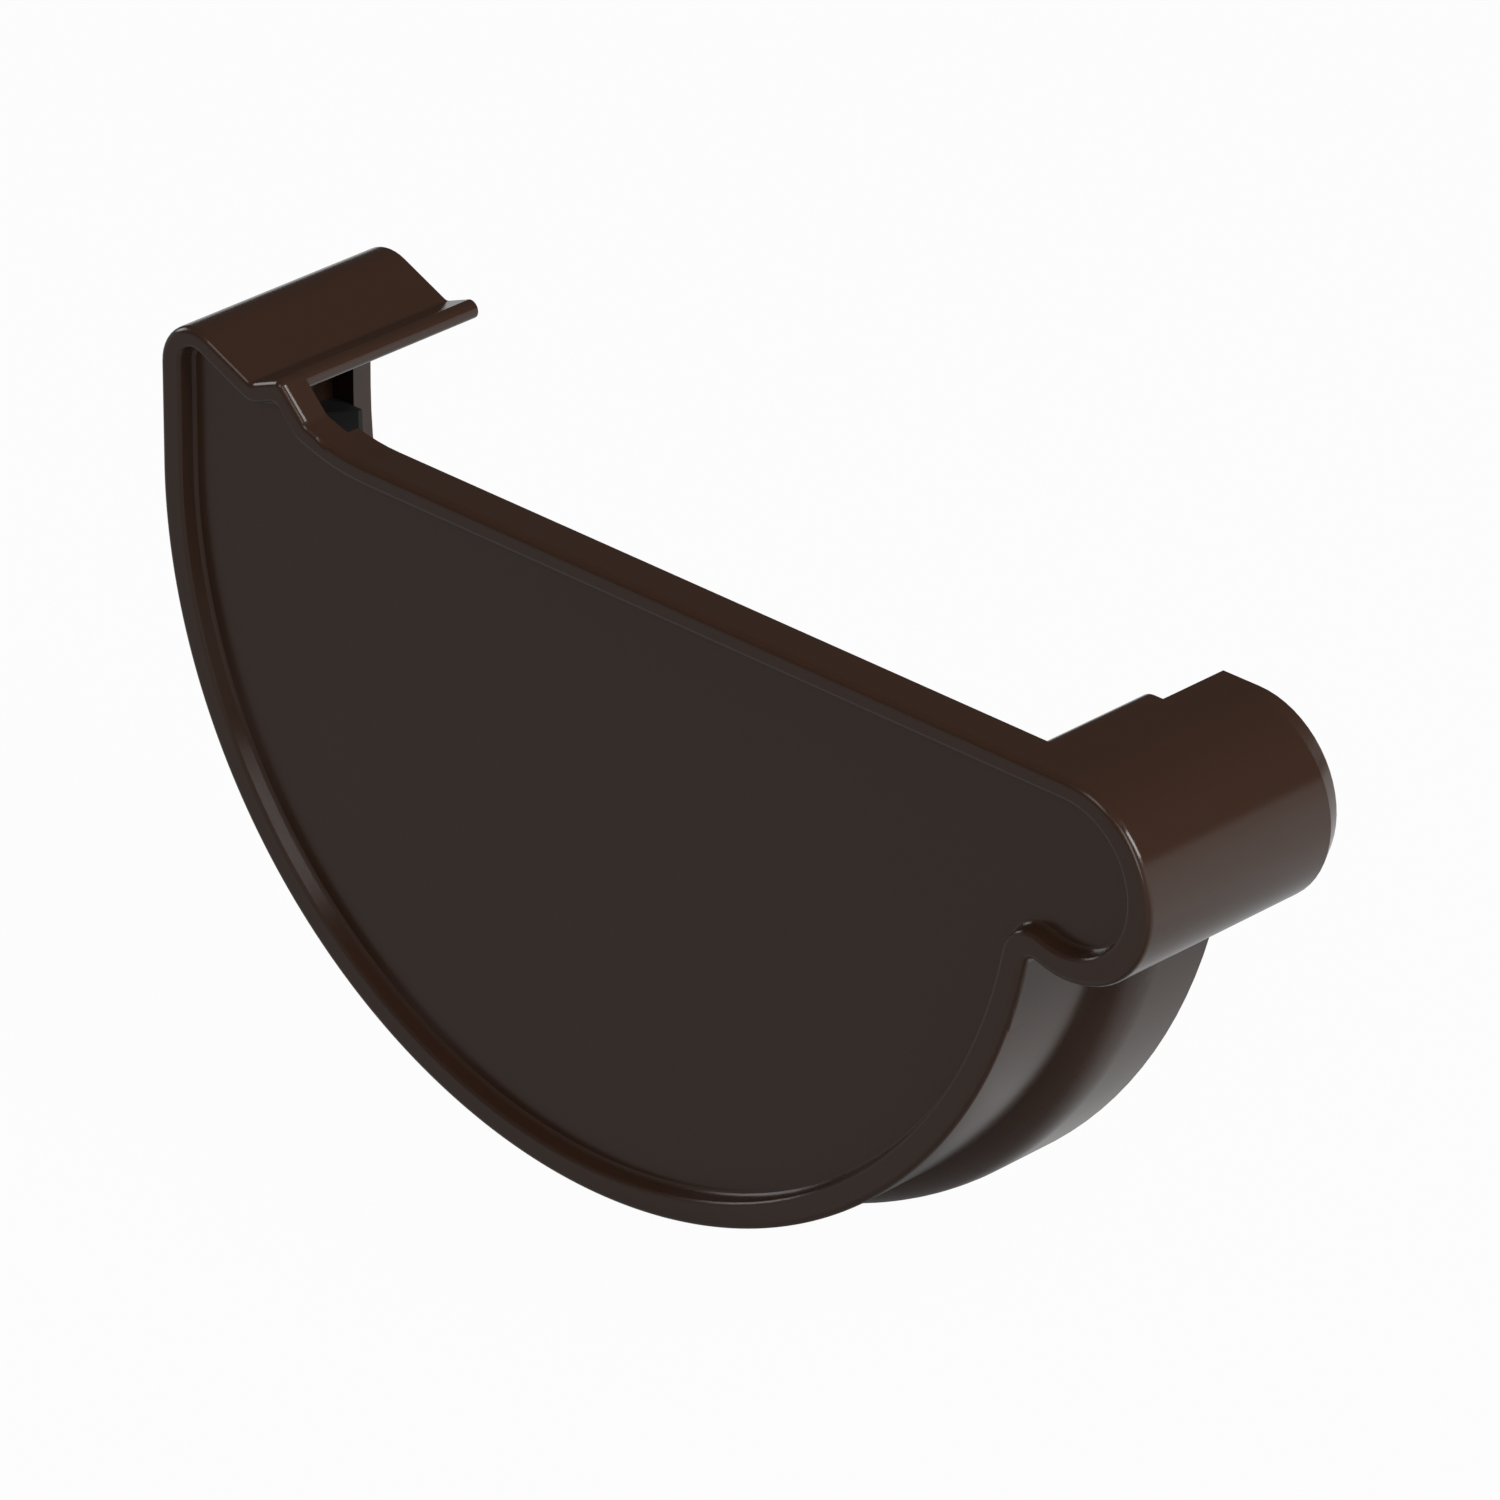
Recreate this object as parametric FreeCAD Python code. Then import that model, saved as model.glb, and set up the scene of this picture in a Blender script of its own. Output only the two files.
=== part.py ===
import FreeCAD, Part
import math
import os

# Gutter end cap for a half-round gutter with a round front bead.
# X runs from the wall side to the front bead, Y into the gutter, Z up.
# The origin is on the trough's axis, in the plane of the plate's raised rim.
# Lengths in mm, angles in degrees.

# Trough and skirt
trough_radius = 66.4      # outside of the half-round skirt
wall = 2.2                # skirt, bead cover, back wall and clip
cap_depth = 30.3          # from the rim's front to the open end
top_height = 10.3         # top edge of the plate above the trough's axis, at the bead
top_fall = 0.2            # fall of the top edge towards the bead

# Front bead cover
bead_radius = 11.8        # outside
end_draw = 0.5            # the cover is this much smaller in radius at the open end
end_run = 2.0             # length over which it is drawn in
bead_offset = 4.2         # bead centre beyond the skirt's outside
neck_radius = 1.2         # hollow between trough and bead
cover_run = 1.0           # turn by which the cover's wall runs on into the skirt
mouth_reach = 5.6         # bead centre to the free edge of the cover's flat top
hook_flat = 1.2           # the cover's top runs on into the hook by this much
hook_radius = 2.5         # curl of the hook, outside
hook_drop = 1.0           # straight end of the hook
hook_short = 9.4          # the hook stops this far short of the open end

# Back clip
ridge_height = 18.1       # highest point of the clip
ridge_radius = 5.6
clip_slope = 23.7         # fall of the clip from ridge to valley
valley_reach = 14.6       # back of the wall to the valley
valley_radius = 1.0
lip_angle = 21.0          # rise of the lip after the valley
lip_length = 4.85

# Tab of the plate under the lip, and the rise of the top edge towards it
tab_slope = 45.0
tab_tip_radius = 1.1
crease_rise = 2.05        # foot of the tab above the top edge at the bead
crease_radius = 1.5
ramp_slope = 16.6
ramp_radius = 27.0

# Plate
plate_back = 3.6          # inside face of the plate
field_depth = 2.0         # sunk field behind the rim's front
rim_width = 2.8           # along the trough, the bead and the back wall
top_rim_width = 2.0       # along the top edges
step_slope = 78.0         # steep wall from the rim down to the field
step_round = 0.4          # rounded edges of that wall
field_corner = 1.2        # smallest corner of the field
edge_round = 0.9          # rim's outside edge
flange_end = 5.2          # flange along the top edge
flange_thickness = 1.8
flange_start = 26.4       # back of the wall to the flange's end

# Seal band round the skirt, with the seal's groove inside
groove_lip = 2.7          # wall between the groove and the open end
groove_width = 8.6
groove_depth = 3.4        # from the skirt's inside
shoulder_radius = 7.2     # rounded shoulder of the band, up to where the groove starts
band_slope = 3.2          # slope from the band's flat to the open end
band_rise = 9.0           # band on the back wall, above the trough's axis
band_run_out = 4.0        # turn by which the band runs on into the bead cover

# Seal strip
seal_clearance = 0.1
seal_base = 2.0
lip_reach = 2.9           # height of the lips over the strip's base
lip_tip = 0.6
lip_lean = 1.65           # lips lean towards the open end
seal_lips = 2
seal_stop = 1.5           # strip's end below the trough's axis on the back wall
seal_gap = 1.0            # turn between the strip's other end and the bead cover

ORIGIN = FreeCAD.Vector(0, 0, 0)
ALONG = FreeCAD.Vector(0, 1, 0)
UP = FreeCAD.Vector(0, 0, 1)
bead_x = trough_radius + bead_offset
mouth_x = bead_x - mouth_reach
groove_start = cap_depth - groove_lip - groove_width
groove_bottom = trough_radius - wall + groove_depth
band_radius = groove_bottom + wall


def at(x, z):
    return FreeCAD.Vector(x, 0, z)


def polar(centre, radius, angle):
    turn = math.radians(angle)
    return centre + at(radius * math.cos(turn), radius * math.sin(turn))


def line(first, last):
    return Part.LineSegment(first, last).toShape()


def arc(centre, radius, start, end):
    middle = polar(centre, radius, (start + end) / 2)
    return Part.Arc(polar(centre, radius, start), middle, polar(centre, radius, end)).toShape()


def angle_of(vector):
    return math.degrees(math.atan2(vector.z, vector.x))


def meet(first, second):
    """Crossing of two lines, each a point and an angle."""
    (p, a), (q, b) = first, second
    a, b = math.radians(a), math.radians(b)
    gap = q - p
    run = (gap.x * math.sin(b) - gap.z * math.cos(b)) / math.sin(b - a)
    return p + at(run * math.cos(a), run * math.sin(a))


def inset(edge_line, distance):
    """The same line, moved to the right of its direction."""
    point, angle = edge_line
    return polar(point, distance, angle - 90), angle


def rounded_path(points, radii):
    """Straight runs through the points, each inner corner rounded to its radius."""
    edges = []
    start = points[0]
    for before, corner, after, radius in zip(points, points[1:], points[2:], radii):
        back = (before - corner).normalize()
        ahead = (after - corner).normalize()
        inwards = (back + ahead).normalize()
        half = back.getAngle(ahead) / 2
        centre = corner + inwards * (radius / math.sin(half))
        first = corner + back * (radius / math.tan(half))
        last = corner + ahead * (radius / math.tan(half))
        edges.append(line(start, first))
        edges.append(Part.Arc(first, centre - inwards * radius, last).toShape())
        start = last
    edges.append(line(start, points[-1]))
    return edges


def face_of(edges):
    return Part.Face(Part.Wire(Part.sortEdges(edges)[0]))


def along_gutter(edges, start, end):
    """Solid of a profile in the XZ plane, from one depth to another."""
    solid = face_of(edges).extrude(ALONG * (end - start))
    return solid.translated(ALONG * start)


def clip_lines():
    """Outside of the back wall, the clip's slope and its lip, as lines."""
    back_wall = (at(-trough_radius, 0), 90)
    ridge_centre = at(ridge_radius - trough_radius, ridge_height - ridge_radius)
    slope = (polar(ridge_centre, ridge_radius, 90 - clip_slope), -clip_slope)
    valley = meet(slope, (at(valley_reach - trough_radius, 0), 90))
    return [back_wall, slope, (valley, lip_angle)]


def top_lines():
    """Tab, ramp and top edge of the plate, as lines."""
    lip = clip_lines()[-1]
    tab = (polar(lip[0], lip_length, lip_angle), -tab_slope)
    crease = meet(tab, (at(0, top_height + crease_rise), 0))
    return [tab, (crease, -ramp_slope), (at(bead_x, top_height), -top_fall)]


def bead_circle(side, top, draw=0):
    """Centre and radius of the bead, moved in by side and by top; a draw keeps its top and trough side."""
    radius = bead_radius - draw - (side + top) / 2
    return at(bead_x - draw + (top - side) / 2, top_height - top - radius), radius


def bead_arcs(side, top, draw=0):
    """Bead arc from its top and the hollow of the neck, and the neck's turn below the X axis."""
    bead_centre, bead = bead_circle(side, top, draw)
    trough = trough_radius - side
    neck = neck_radius + (side + top) / 2
    apart = bead_centre.Length
    along = ((trough + neck) ** 2 - (bead + neck) ** 2 + apart ** 2) / (2 * apart)
    across = math.sqrt((trough + neck) ** 2 - along ** 2)
    towards = bead_centre * (1 / apart)
    neck_centre = towards * along + at(towards.z, -towards.x) * across
    on_bead = angle_of(neck_centre - bead_centre)
    on_trough = angle_of(neck_centre)
    edges = [
        arc(bead_centre, bead, 90, on_bead),
        arc(neck_centre, neck, on_bead + 180, on_trough + 180),
    ]
    return edges, -on_trough


neck_turn = bead_arcs(0, 0)[1]
skirt_turn = neck_turn + cover_run


def plate_outline(side, top):
    """Outline of the plate, moved in by side along the trough and the bead and by top along the top."""
    back_wall, *upper = clip_lines() + top_lines()
    lines = [inset(back_wall, side)] + [inset(edge, top) for edge in upper]
    corners = [meet(first, second) for first, second in zip(lines, lines[1:])]
    radii = [
        max(ridge_radius - side, field_corner),
        valley_radius + top,
        tab_tip_radius if top == 0 else field_corner,
        crease_radius + top,
        ramp_radius + top,
    ]
    trough = trough_radius - side
    bead_edges, turn = bead_arcs(side, top)
    bead_top = at(bead_circle(side, top)[0].x, top_height - top)
    path = [at(-trough, 0)] + corners + [bead_top]
    return rounded_path(path, radii) + bead_edges + [arc(ORIGIN, trough, -turn, -180)]


def field_steps():
    """Steps from the rim to the field, as moves inwards and depths: round over, steep wall, hollow foot."""
    tilt = math.radians(step_slope)
    over = []
    for turn in (0, tilt / 2, tilt):
        over.append((step_round * math.sin(turn), step_round * (1 - math.cos(turn))))
    across, down = over[-1]
    width = 2 * across + (field_depth - 2 * down) / math.tan(tilt)
    foot = [(width - move, field_depth - depth) for move, depth in reversed(over)]
    return over + foot


def make_field():
    """What comes out of the plate: a sunk field with steep sides and rounded edges."""
    wires = []
    for move, depth in field_steps():
        edges = plate_outline(rim_width + move, top_rim_width + move)
        wire = Part.Wire(Part.sortEdges(edges)[0])
        wires.append(wire.translated(ALONG * depth))
    return Part.makeLoft(wires, True, True)


def make_plate():
    """Plate with a raised rim round a sunk field."""
    plate = along_gutter(plate_outline(0, 0), 0, plate_back)
    front = [e for e in plate.Edges if e.BoundBox.YMax < plate_back / 2]
    return plate.makeFillet(edge_round, front).cut(make_field())


def make_clip():
    """Back wall and the clip that bends over the gutter's back edge."""
    outer = clip_lines()
    inner = [inset(edge, wall) for edge in outer]
    reach = lip_length - wall / 2
    tip_outer = polar(outer[-1][0], reach, lip_angle)
    tip_centre = polar(tip_outer, wall / 2, lip_angle - 90)
    tip_inner = polar(tip_outer, wall, lip_angle - 90)
    outside = [outer[0][0], meet(*outer[:2]), meet(*outer[1:]), tip_outer]
    inside = [tip_inner, meet(*inner[1:]), meet(*inner[:2]), inner[0][0]]
    edges = rounded_path(outside, [ridge_radius, valley_radius])
    edges.append(arc(tip_centre, wall / 2, lip_angle + 90, lip_angle - 90))
    edges += rounded_path(inside, [valley_radius + wall, ridge_radius - wall])
    edges.append(line(inside[-1], outside[0]))
    return along_gutter(edges, plate_back, cap_depth)


def gutter_space():
    """Space inside the cap's walls that takes the end of the gutter."""
    return along_gutter(plate_outline(wall, wall), plate_back, cap_depth)


def cover_outline(draw):
    """Outside of the bead cover, closed straight across the mouth."""
    edges, turn = bead_arcs(0, 0, draw)
    bead_top = at(bead_circle(0, 0, draw)[0].x, top_height)
    edges.append(arc(ORIGIN, trough_radius, -turn, -skirt_turn))
    foot = [polar(ORIGIN, radius, -skirt_turn) for radius in (trough_radius - wall, trough_radius)]
    corners = [bead_top, at(mouth_x, top_height), at(mouth_x, 0)] + foot
    return edges + [line(first, last) for first, last in zip(corners, corners[1:])]


def make_bead_cover():
    """Round cover of the gutter's front bead, open towards the trough and drawn in at the open end."""
    drawn_from = cap_depth - end_run
    cover = along_gutter(cover_outline(0), plate_back, drawn_from)
    wires = []
    for depth, draw in ((drawn_from, 0), (cap_depth, end_draw)):
        wire = Part.Wire(Part.sortEdges(cover_outline(draw))[0])
        wires.append(wire.translated(ALONG * depth))
    return cover.fuse(Part.makeLoft(wires, True, True)).cut(gutter_space())


def make_hook():
    """Curled edge of the bead cover that holds the gutter's bead down."""
    curl = at(mouth_x - hook_flat, top_height - hook_radius)
    outer_end = polar(curl, hook_radius, 180) - UP * hook_drop
    inner_end = outer_end + at(wall, 0)
    edges = [
        arc(curl, hook_radius, 90, 180),
        line(polar(curl, hook_radius, 180), outer_end),
        line(outer_end, inner_end),
        line(inner_end, polar(curl, hook_radius - wall, 180)),
        arc(curl, hook_radius - wall, 180, 90),
        line(polar(curl, hook_radius - wall, 90), at(mouth_x, top_height - wall)),
        line(at(mouth_x, top_height - wall), at(mouth_x, top_height)),
        line(at(mouth_x, top_height), polar(curl, hook_radius, 90)),
    ]
    return along_gutter(edges, plate_back, cap_depth - hook_short)


def make_flange():
    """Narrow flange behind the plate's top edge, from the ramp to the bead cover."""
    start = flange_start - trough_radius
    ring = along_gutter(plate_outline(0, 0), plate_back, flange_end)
    inside = along_gutter(plate_outline(flange_thickness, flange_thickness), plate_back, flange_end)
    reach = Part.makeBox(mouth_x - start, flange_end, ridge_height, at(start, 0))
    return ring.cut(inside).common(reach)


def turned(edges, start, end):
    """Section drawn at X > 0, turned about the trough's axis between two angles below the X axis."""
    section = face_of(edges)
    section.rotate(ORIGIN, ALONG, start)
    return section.revolve(ORIGIN, ALONG, end - start)


def risen(edges, height):
    """The same section on the back wall, drawn straight up from the trough's axis."""
    section = face_of(edges)
    section.rotate(ORIGIN, ALONG, 180)
    return section.extrude(UP * height)


def ring_point(radius, depth):
    return FreeCAD.Vector(radius, depth, 0)


def closed_lines(points):
    return [line(first, last) for first, last in zip(points, points[1:] + points[:1])]


def skirt_section():
    inner = trough_radius - wall
    return closed_lines([
        ring_point(inner, plate_back),
        ring_point(trough_radius, plate_back),
        ring_point(trough_radius, cap_depth),
        ring_point(inner, cap_depth),
    ])


def band_section():
    """Outside of the seal band: a rounded shoulder up to a flat, and a slope down to the open end."""
    root = trough_radius - wall / 2
    swing = math.acos(1 - (band_radius - trough_radius) / shoulder_radius)
    shoulder = []
    for turn in (swing, swing / 2, 0):
        height = band_radius - shoulder_radius * (1 - math.cos(turn))
        shoulder.append(ring_point(height, groove_start - shoulder_radius * math.sin(turn)))
    points = [
        shoulder[-1],
        ring_point(band_radius, cap_depth - band_slope),
        ring_point(trough_radius, cap_depth),
        ring_point(root, cap_depth),
        ring_point(root, shoulder[0].y),
        shoulder[0],
    ]
    return [Part.Arc(*shoulder).toShape()] + [line(first, last) for first, last in zip(points, points[1:])]


def groove_section():
    inner = trough_radius - 2 * wall
    end = groove_start + groove_width
    return closed_lines([
        ring_point(inner, groove_start),
        ring_point(groove_bottom, groove_start),
        ring_point(groove_bottom, end),
        ring_point(inner, end),
    ])


def seal_section():
    """Flat base with a row of lips that lean towards the open end."""
    outside = groove_bottom - seal_clearance
    base = outside - seal_base
    start = groove_start + seal_clearance
    end = groove_start + groove_width - seal_clearance
    points = [ring_point(outside, start)]
    pitch = (end - start) / seal_lips
    for number in range(seal_lips):
        root = start + pitch * number
        tip = root + pitch / 2 + lip_lean
        points.append(ring_point(base, root))
        points.append(ring_point(base - lip_reach, tip - lip_tip / 2))
        points.append(ring_point(base - lip_reach, tip + lip_tip / 2))
    points += [ring_point(base, end), ring_point(outside, end)]
    return closed_lines(points)


def band_top_slope():
    """What comes off the band's upper end, so that it slopes back to the wall."""
    corner = at(-trough_radius, band_rise)
    reach = 2 * (band_radius - trough_radius)
    edges = closed_lines([corner, corner + at(-reach, 0), corner + at(-reach, -reach)])
    return along_gutter(edges, plate_back, cap_depth)


def make_band():
    """Seal band round the skirt and up the back wall, running on into the bead cover."""
    band = turned(band_section(), neck_turn - band_run_out, 180).cut(gutter_space())
    return band.fuse(risen(band_section(), band_rise).cut(band_top_slope()))


def make_groove():
    """Groove for the seal strip, which ends below the slope of the band's upper end."""
    groove_rise = band_rise - (groove_bottom - trough_radius) - wall
    return turned(groove_section(), neck_turn, 180).fuse(risen(groove_section(), groove_rise))


def make_cap_body():
    plate = make_plate()
    skirt = turned(skirt_section(), skirt_turn, 180)
    pieces = [skirt, make_clip(), make_bead_cover(), make_hook(), make_flange(), make_band()]
    return plate.fuse(pieces).cut(make_groove()).removeSplitter()


def make_seal_strip():
    stop = math.degrees(math.asin(seal_stop / groove_bottom))
    return turned(seal_section(), neck_turn + seal_gap, 180 - stop)


def main():
    os.makedirs("parts", exist_ok=True)
    parts = {"cap_body": make_cap_body(), "seal_strip": make_seal_strip()}
    for name, shape in parts.items():
        box = shape.BoundBox
        print(name, len(shape.Solids), shape.isValid(), round(shape.Volume), box)
        shape.exportStep("parts/" + name + ".step")


main()
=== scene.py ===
import math

import bmesh
import bpy
from mathutils import Matrix, Vector


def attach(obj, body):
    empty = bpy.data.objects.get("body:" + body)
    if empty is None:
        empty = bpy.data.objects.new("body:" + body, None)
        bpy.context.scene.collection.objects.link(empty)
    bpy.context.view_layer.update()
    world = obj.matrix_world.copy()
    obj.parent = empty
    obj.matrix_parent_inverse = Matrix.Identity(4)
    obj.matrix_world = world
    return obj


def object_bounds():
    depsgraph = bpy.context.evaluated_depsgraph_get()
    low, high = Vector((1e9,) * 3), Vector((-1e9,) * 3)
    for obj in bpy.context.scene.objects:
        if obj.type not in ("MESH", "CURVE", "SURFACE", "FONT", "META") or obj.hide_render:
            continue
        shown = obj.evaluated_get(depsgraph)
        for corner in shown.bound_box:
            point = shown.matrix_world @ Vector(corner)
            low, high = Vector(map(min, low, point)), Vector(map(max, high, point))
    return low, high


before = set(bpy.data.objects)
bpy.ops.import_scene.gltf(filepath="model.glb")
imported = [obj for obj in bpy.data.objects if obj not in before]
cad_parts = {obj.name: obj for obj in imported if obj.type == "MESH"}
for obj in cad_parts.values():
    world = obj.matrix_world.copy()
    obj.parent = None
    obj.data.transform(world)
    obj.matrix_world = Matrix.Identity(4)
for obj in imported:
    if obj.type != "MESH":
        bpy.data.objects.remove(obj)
cad_box = [list(corner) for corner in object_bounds()]

# Rounded edge of the rim along the trough: the part's own radii, and the ring that lies in it.
TROUGH_RADIUS = 0.0664
EDGE_ROUND = 0.0009
RING_WIDTH = 0.0018
RING_DEPTH = 0.0034
RING_PROUD = 0.000002       # over the faces of the node
RING_TURN = math.radians(160)
RING_STEPS = 240
ROUND_STEPS = 24
SHARP_TURN = math.radians(40)

# Moulded surfaces: fineness of the noises and height of the grain.
DRIFT_DETAIL = 3.0
GRAIN_DETAIL = 2.0
GRAIN_HEIGHT = 0.00002

# Floor and backdrop. The floor looks white to the camera, with a faint share of its paint for the shadow.
FLOOR_GAP = 0.0003
FLOOR_REACH = 4.0
BACKDROP_RISE = 1.4
FLOOR_PAINT = (0.45, 0.45, 0.45, 1.0)
WHITE = (1.0, 1.0, 1.0, 1.0)
WHITE_SHARE = 0.97

# Painted light and shade of the floor in the part's gloss, at places in metres along one direction:
# grey in front of the part, a painted shadow under it and pale behind.
GLOSS_TURN = (0.30, 0.954, 0.0)
GLOSS_PAINTED_LIGHT_AND_SHADE = (
    (-0.01, 0.30), (0.01, 0.12), (0.035, 0.17), (0.05, 0.55), (0.10, 0.61), (0.13, 0.80),
)

WORLD_STRENGTH = 0.06

# Camera of the photograph, with its place measured from the trough's axis along its own axes.
PHOTO_AZIMUTH = math.radians(44.0510)
PHOTO_ELEVATION = math.radians(27.2443)
PHOTO_ROLL = math.radians(0.4576)
PHOTO_LENS = 263.511        # millimetres, as is the sensor
SENSOR_WIDTH = 36.0
CAMERA_BACK = 1.18054
CAMERA_RIGHT = 0.0179822
CAMERA_DOWN = 0.0104988


def wire(tree, source, socket, target, name):
    """Link an output of one node to an input of another."""
    tree.links.new(source.outputs[socket], target.inputs[name])


def moulded_surface():
    """Node group: slow drifts of tone over a moulded surface and its fine, even grain."""
    group = bpy.data.node_groups.new("moulded_surface", "ShaderNodeTree")
    start = group.nodes.new("NodeGroupInput")
    end = group.nodes.new("NodeGroupOutput")
    place = group.nodes.new("ShaderNodeTexCoord")
    for result, detail in (("Drift", DRIFT_DETAIL), ("Grain", GRAIN_DETAIL)):
        scale = f"{result} Scale"
        group.interface.new_socket(scale, in_out="INPUT", socket_type="NodeSocketFloat")
        group.interface.new_socket(result, in_out="OUTPUT", socket_type="NodeSocketFloat")
        noise = group.nodes.new("ShaderNodeTexNoise")
        noise.inputs["Detail"].default_value = detail
        wire(group, place, "Object", noise, "Vector")
        wire(group, start, scale, noise, "Scale")
        wire(group, noise, "Fac", end, result)
    return group


def moulded_finish(surface, name, tones, roughness, drift, grain, relief, specular):
    """A moulded finish: two close tones, a drifting roughness and a fine relief."""
    material = bpy.data.materials.new(name)
    material.use_nodes = True
    tree = material.node_tree
    shader = tree.nodes["Principled BSDF"]
    shader.inputs["Specular IOR Level"].default_value = specular

    skin = tree.nodes.new("ShaderNodeGroup")
    skin.node_tree = surface
    skin.inputs["Drift Scale"].default_value = drift
    skin.inputs["Grain Scale"].default_value = grain

    tone = tree.nodes.new("ShaderNodeMix")
    tone.data_type = "RGBA"
    tone.inputs["A"].default_value = (*tones[0], 1.0)
    tone.inputs["B"].default_value = (*tones[1], 1.0)
    wire(tree, skin, "Drift", tone, "Factor")
    wire(tree, tone, "Result", shader, "Base Color")

    sheen = tree.nodes.new("ShaderNodeMapRange")
    sheen.inputs["To Min"].default_value = roughness[0]
    sheen.inputs["To Max"].default_value = roughness[1]
    wire(tree, skin, "Drift", sheen, "Value")
    wire(tree, sheen, "Result", shader, "Roughness")

    bump = tree.nodes.new("ShaderNodeBump")
    bump.inputs["Strength"].default_value = relief
    bump.inputs["Distance"].default_value = GRAIN_HEIGHT
    wire(tree, skin, "Grain", bump, "Height")
    wire(tree, bump, "Normal", shader, "Normal")
    return material


def brown_plastic(surface):
    """Semi-gloss dark brown of the moulded cap."""
    return moulded_finish(
        surface, "brown_plastic",
        tones=((0.0440, 0.0206, 0.0122), (0.0470, 0.0220, 0.0131)),
        roughness=(0.19, 0.23), drift=45.0, grain=2600.0, relief=0.08, specular=0.50,
    )


def seal_rubber(surface):
    """Matt black of the seal strip."""
    return moulded_finish(
        surface, "seal_rubber",
        tones=((0.010, 0.010, 0.010), (0.016, 0.016, 0.016)),
        roughness=(0.55, 0.70), drift=90.0, grain=1800.0, relief=0.35, specular=0.40,
    )


def coat(node, finish):
    """Give a node of the frame its finish."""
    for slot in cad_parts[node].material_slots:
        slot.material = finish


def rim_edge(finish):
    """Rounded outside edge of the rim along the trough, in finer steps than the facets of the node."""
    ring = bmesh.new()
    outside, inside = -TROUGH_RADIUS - RING_PROUD, RING_WIDTH - TROUGH_RADIUS
    front, back = -RING_PROUD, RING_DEPTH
    section = ((outside, front), (outside, back), (inside, back), (inside, front))
    corners = [ring.verts.new((across, along, 0)) for across, along in section]
    ring.faces.new(corners)
    bmesh.ops.bevel(
        ring, geom=corners[:1], offset=EDGE_ROUND, segments=ROUND_STEPS, profile=0.5,
        affect="VERTICES", material=-1,
    )
    bmesh.ops.spin(
        ring, geom=ring.verts[:] + ring.edges[:] + ring.faces[:],
        cent=(0, 0, 0), axis=(0, 1, 0), angle=-RING_TURN, steps=RING_STEPS,
    )
    bmesh.ops.recalc_face_normals(ring, faces=ring.faces)
    for face in ring.faces:
        face.smooth = True
    for edge in ring.edges:
        edge.smooth = edge.calc_face_angle(math.pi) < SHARP_TURN
    mesh = bpy.data.meshes.new("rim_edge")
    ring.to_mesh(mesh)
    ring.free()
    mesh.materials.append(finish)
    piece = bpy.data.objects.new("rim_edge", mesh)
    bpy.context.collection.objects.link(piece)
    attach(piece, "root")


def painted_gloss_light_and_shade(tree):
    """The floor's painted light and shade in the part's gloss, as a ramp along GLOSS_TURN."""
    first, last = GLOSS_PAINTED_LIGHT_AND_SHADE[0][0], GLOSS_PAINTED_LIGHT_AND_SHADE[-1][0]
    place = tree.nodes.new("ShaderNodeTexCoord")
    along = tree.nodes.new("ShaderNodeVectorMath")
    along.operation = "DOT_PRODUCT"
    along.inputs[1].default_value = GLOSS_TURN
    wire(tree, place, "Object", along, 0)
    span = tree.nodes.new("ShaderNodeMapRange")
    span.inputs["From Min"].default_value = first
    span.inputs["From Max"].default_value = last
    wire(tree, along, "Value", span, "Value")
    ramp = tree.nodes.new("ShaderNodeValToRGB")
    stops = ramp.color_ramp.elements
    stops.remove(stops[1])
    for number, (where, tone) in enumerate(GLOSS_PAINTED_LIGHT_AND_SHADE):
        position = (where - first) / (last - first)
        stop = stops.new(position) if number else stops[0]
        stop.position = position
        stop.color = (tone, tone, tone, 1.0)
    wire(tree, span, "Result", ramp, "Fac")
    return ramp


def floor_finish():
    """Paint that looks white to the camera, keeps a faint shadow and shows painted light and shade in the
    part's gloss.
    """
    material = bpy.data.materials.new("studio_floor")
    material.use_nodes = True
    tree = material.node_tree
    tree.nodes.remove(tree.nodes["Principled BSDF"])
    path = tree.nodes.new("ShaderNodeLightPath")
    paint = tree.nodes.new("ShaderNodeBsdfDiffuse")
    paint.inputs["Color"].default_value = FLOOR_PAINT

    seen = tree.nodes.new("ShaderNodeMix")
    seen.data_type = "RGBA"
    seen.inputs["B"].default_value = WHITE
    wire(tree, path, "Is Camera Ray", seen, "Factor")
    # Rays off the part's gloss see this ramp: painted shade under the part and painted light behind it.
    wire(tree, painted_gloss_light_and_shade(tree), "Color", seen, "A")
    glow = tree.nodes.new("ShaderNodeEmission")
    wire(tree, seen, "Result", glow, "Color")

    mirrored = tree.nodes.new("ShaderNodeMath")
    mirrored.operation = "MAXIMUM"
    wire(tree, path, "Is Glossy Ray", mirrored, 0)
    wire(tree, path, "Is Transmission Ray", mirrored, 1)
    share = tree.nodes.new("ShaderNodeMath")
    share.operation = "MULTIPLY_ADD"
    share.inputs[1].default_value = WHITE_SHARE
    wire(tree, path, "Is Camera Ray", share, 0)
    wire(tree, mirrored, 0, share, 2)
    mix = tree.nodes.new("ShaderNodeMixShader")
    wire(tree, share, 0, mix, 0)
    wire(tree, paint, 0, mix, 1)
    wire(tree, glow, 0, mix, 2)
    wire(tree, mix, 0, tree.nodes["Material Output"], "Surface")
    return material


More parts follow.
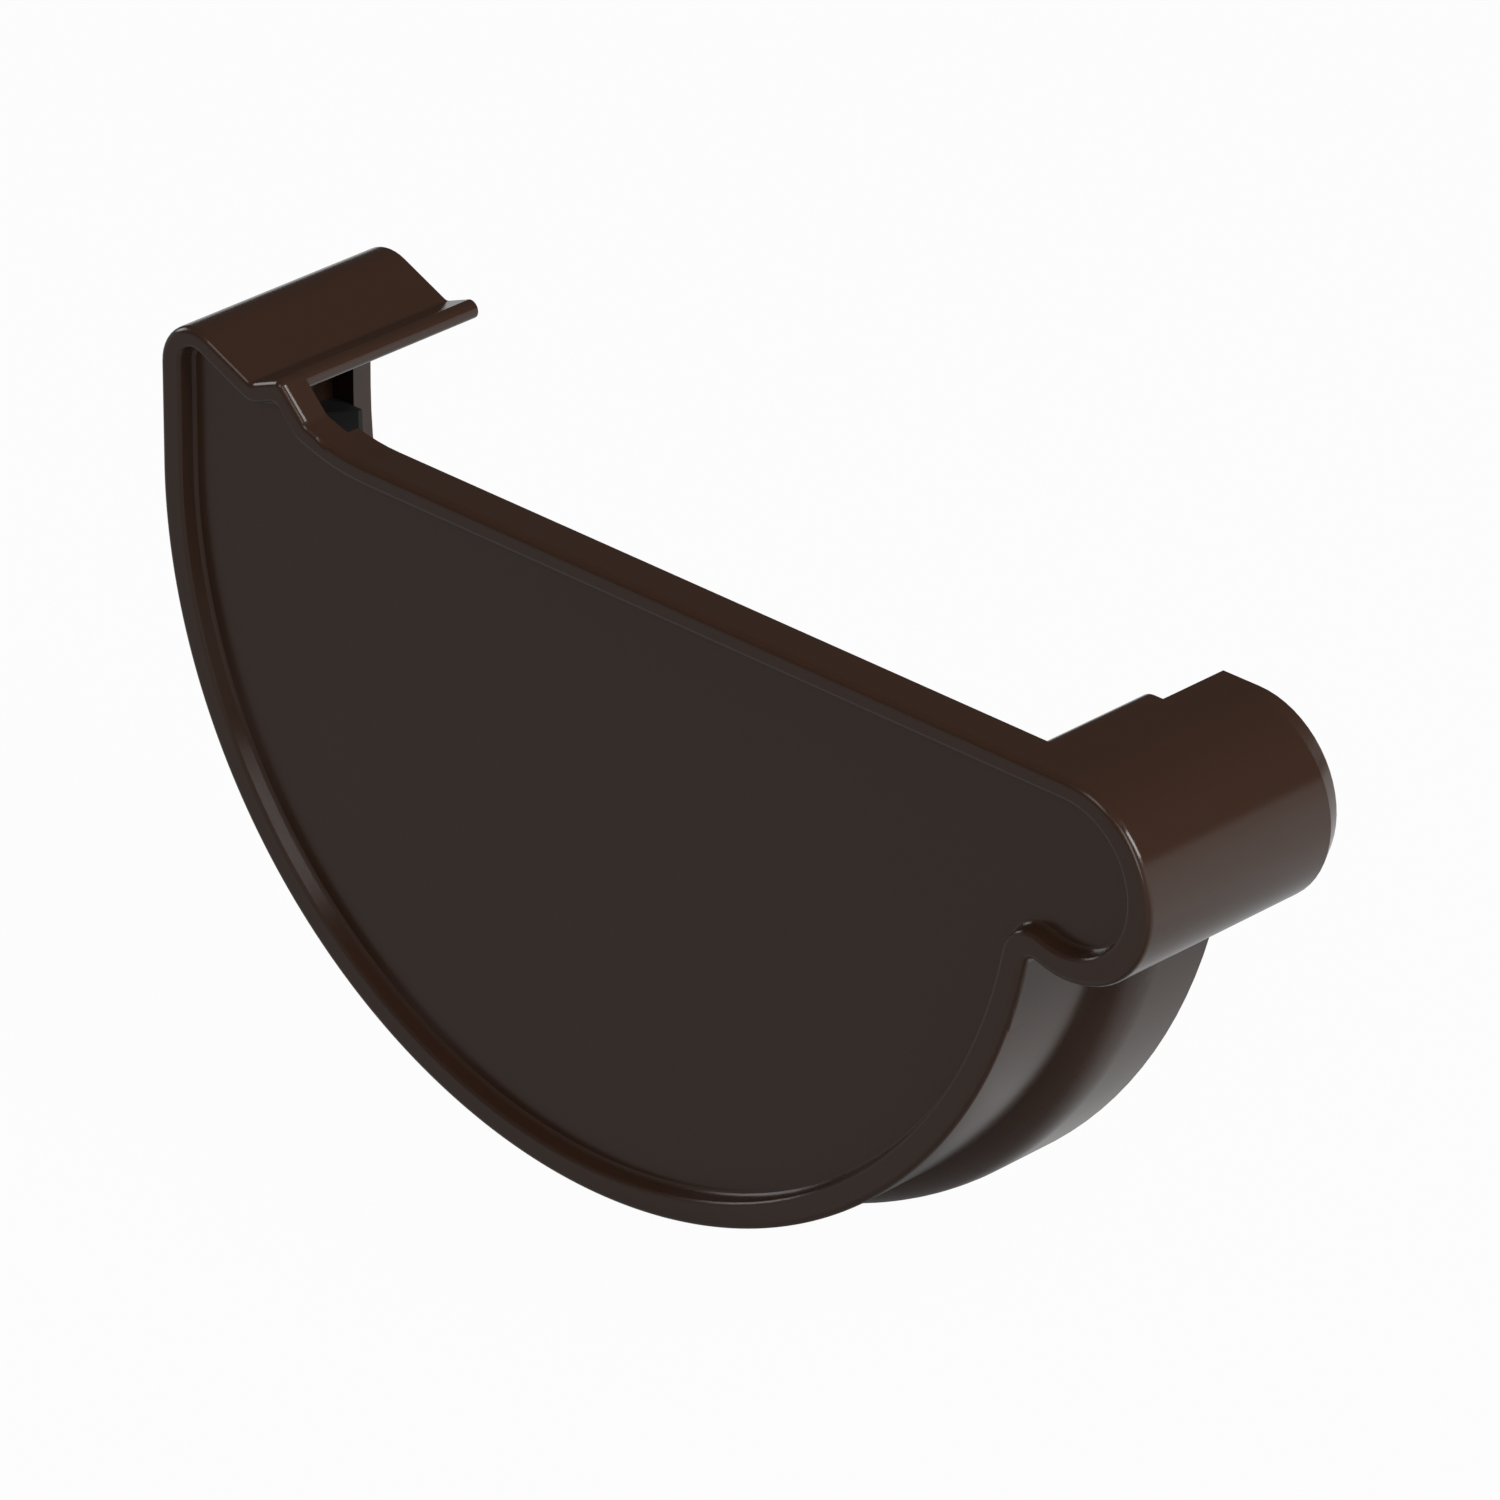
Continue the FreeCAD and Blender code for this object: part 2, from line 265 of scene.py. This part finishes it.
def lay_floor():
    """Floor just under the part, with a low backdrop along its side towards the bead."""
    height = cad_box[0][2] - FLOOR_GAP
    shape = bmesh.new()
    bmesh.ops.create_grid(shape, x_segments=1, y_segments=1, size=FLOOR_REACH)
    bmesh.ops.translate(shape, verts=shape.verts, vec=(0, 0, height))
    side = [edge for edge in shape.edges if all(corner.co.x > 0 for corner in edge.verts)]
    risen = bmesh.ops.extrude_edge_only(shape, edges=side)["geom"]
    corners = [item for item in risen if isinstance(item, bmesh.types.BMVert)]
    bmesh.ops.translate(shape, verts=corners, vec=(0, 0, BACKDROP_RISE))
    mesh = bpy.data.meshes.new("floor")
    shape.to_mesh(mesh)
    shape.free()
    mesh.materials.append(floor_finish())
    floor = bpy.data.objects.new("floor", mesh)
    bpy.context.collection.objects.link(floor)


def softbox(name, towards, distance, size, power):
    """Area lamp in that direction from the part, turned to it."""
    lamp = bpy.data.lights.new(name, "AREA")
    lamp.shape = "RECTANGLE"
    lamp.size, lamp.size_y = size
    lamp.energy = power
    holder = bpy.data.objects.new(name, lamp)
    direction = Vector(towards).normalized()
    holder.location = direction * distance
    holder.rotation_mode = "QUATERNION"
    holder.rotation_quaternion = (-direction).to_track_quat("-Z", "Y")
    bpy.context.collection.objects.link(holder)


def studio_world():
    """Even, faint light from all round, which the camera sees as white."""
    world = bpy.data.worlds.new("studio")
    bpy.context.scene.world = world
    world.use_nodes = True
    tree = world.node_tree
    sky = tree.nodes["Background"]
    sky.inputs["Color"].default_value = WHITE
    path = tree.nodes.new("ShaderNodeLightPath")
    level = tree.nodes.new("ShaderNodeMapRange")
    level.inputs["To Min"].default_value = WORLD_STRENGTH
    level.inputs["To Max"].default_value = 1.0
    wire(tree, path, "Is Camera Ray", level, "Value")
    wire(tree, level, "Result", sky, "Strength")


def studio_light():
    """High main light at the bead's side, smaller ones in front and at the left, and a low one behind."""
    softbox("key_box", towards=(0.74, 0.05, 0.67), distance=2.4, size=(1.3, 1.3), power=45.0)
    softbox("front_strip", towards=(0.50, -0.78, 0.37), distance=1.3, size=(0.36, 1.0), power=3.2)
    softbox("front_box", towards=(-0.15, -0.76, 0.63), distance=1.3, size=(0.36, 0.50), power=1.4)
    softbox("left_box", towards=(-0.95, -0.14, 0.25), distance=1.3, size=(0.5, 0.4), power=2.2)
    softbox("back_box", towards=(-0.08, 0.99, 0.06), distance=2.2, size=(0.64, 0.26), power=12.0)


def photo_camera():
    """Camera at the angle and place of the photograph."""
    level = Vector((math.cos(PHOTO_AZIMUTH), math.sin(PHOTO_AZIMUTH), 0))
    back = Vector((
        math.sin(PHOTO_AZIMUTH) * math.cos(PHOTO_ELEVATION),
        -math.cos(PHOTO_AZIMUTH) * math.cos(PHOTO_ELEVATION),
        math.sin(PHOTO_ELEVATION),
    ))
    rise = back.cross(level)
    right = level * math.cos(PHOTO_ROLL) + rise * math.sin(PHOTO_ROLL)
    up = rise * math.cos(PHOTO_ROLL) - level * math.sin(PHOTO_ROLL)
    lens = bpy.data.cameras.new("camera")
    lens.sensor_width = SENSOR_WIDTH
    lens.lens = PHOTO_LENS
    camera = bpy.data.objects.new("camera", lens)
    turn = Matrix((right, up, back)).transposed()
    place = back * CAMERA_BACK + right * CAMERA_RIGHT - up * CAMERA_DOWN
    camera.matrix_world = Matrix.Translation(place) @ turn.to_4x4()
    bpy.context.collection.objects.link(camera)
    bpy.context.scene.camera = camera


surface = moulded_surface()
brown = brown_plastic(surface)
coat("cap_body", brown)
coat("seal_strip", seal_rubber(surface))
rim_edge(brown)

lay_floor()
studio_world()
studio_light()
photo_camera()
bpy.context.scene.view_settings.view_transform = "Standard"
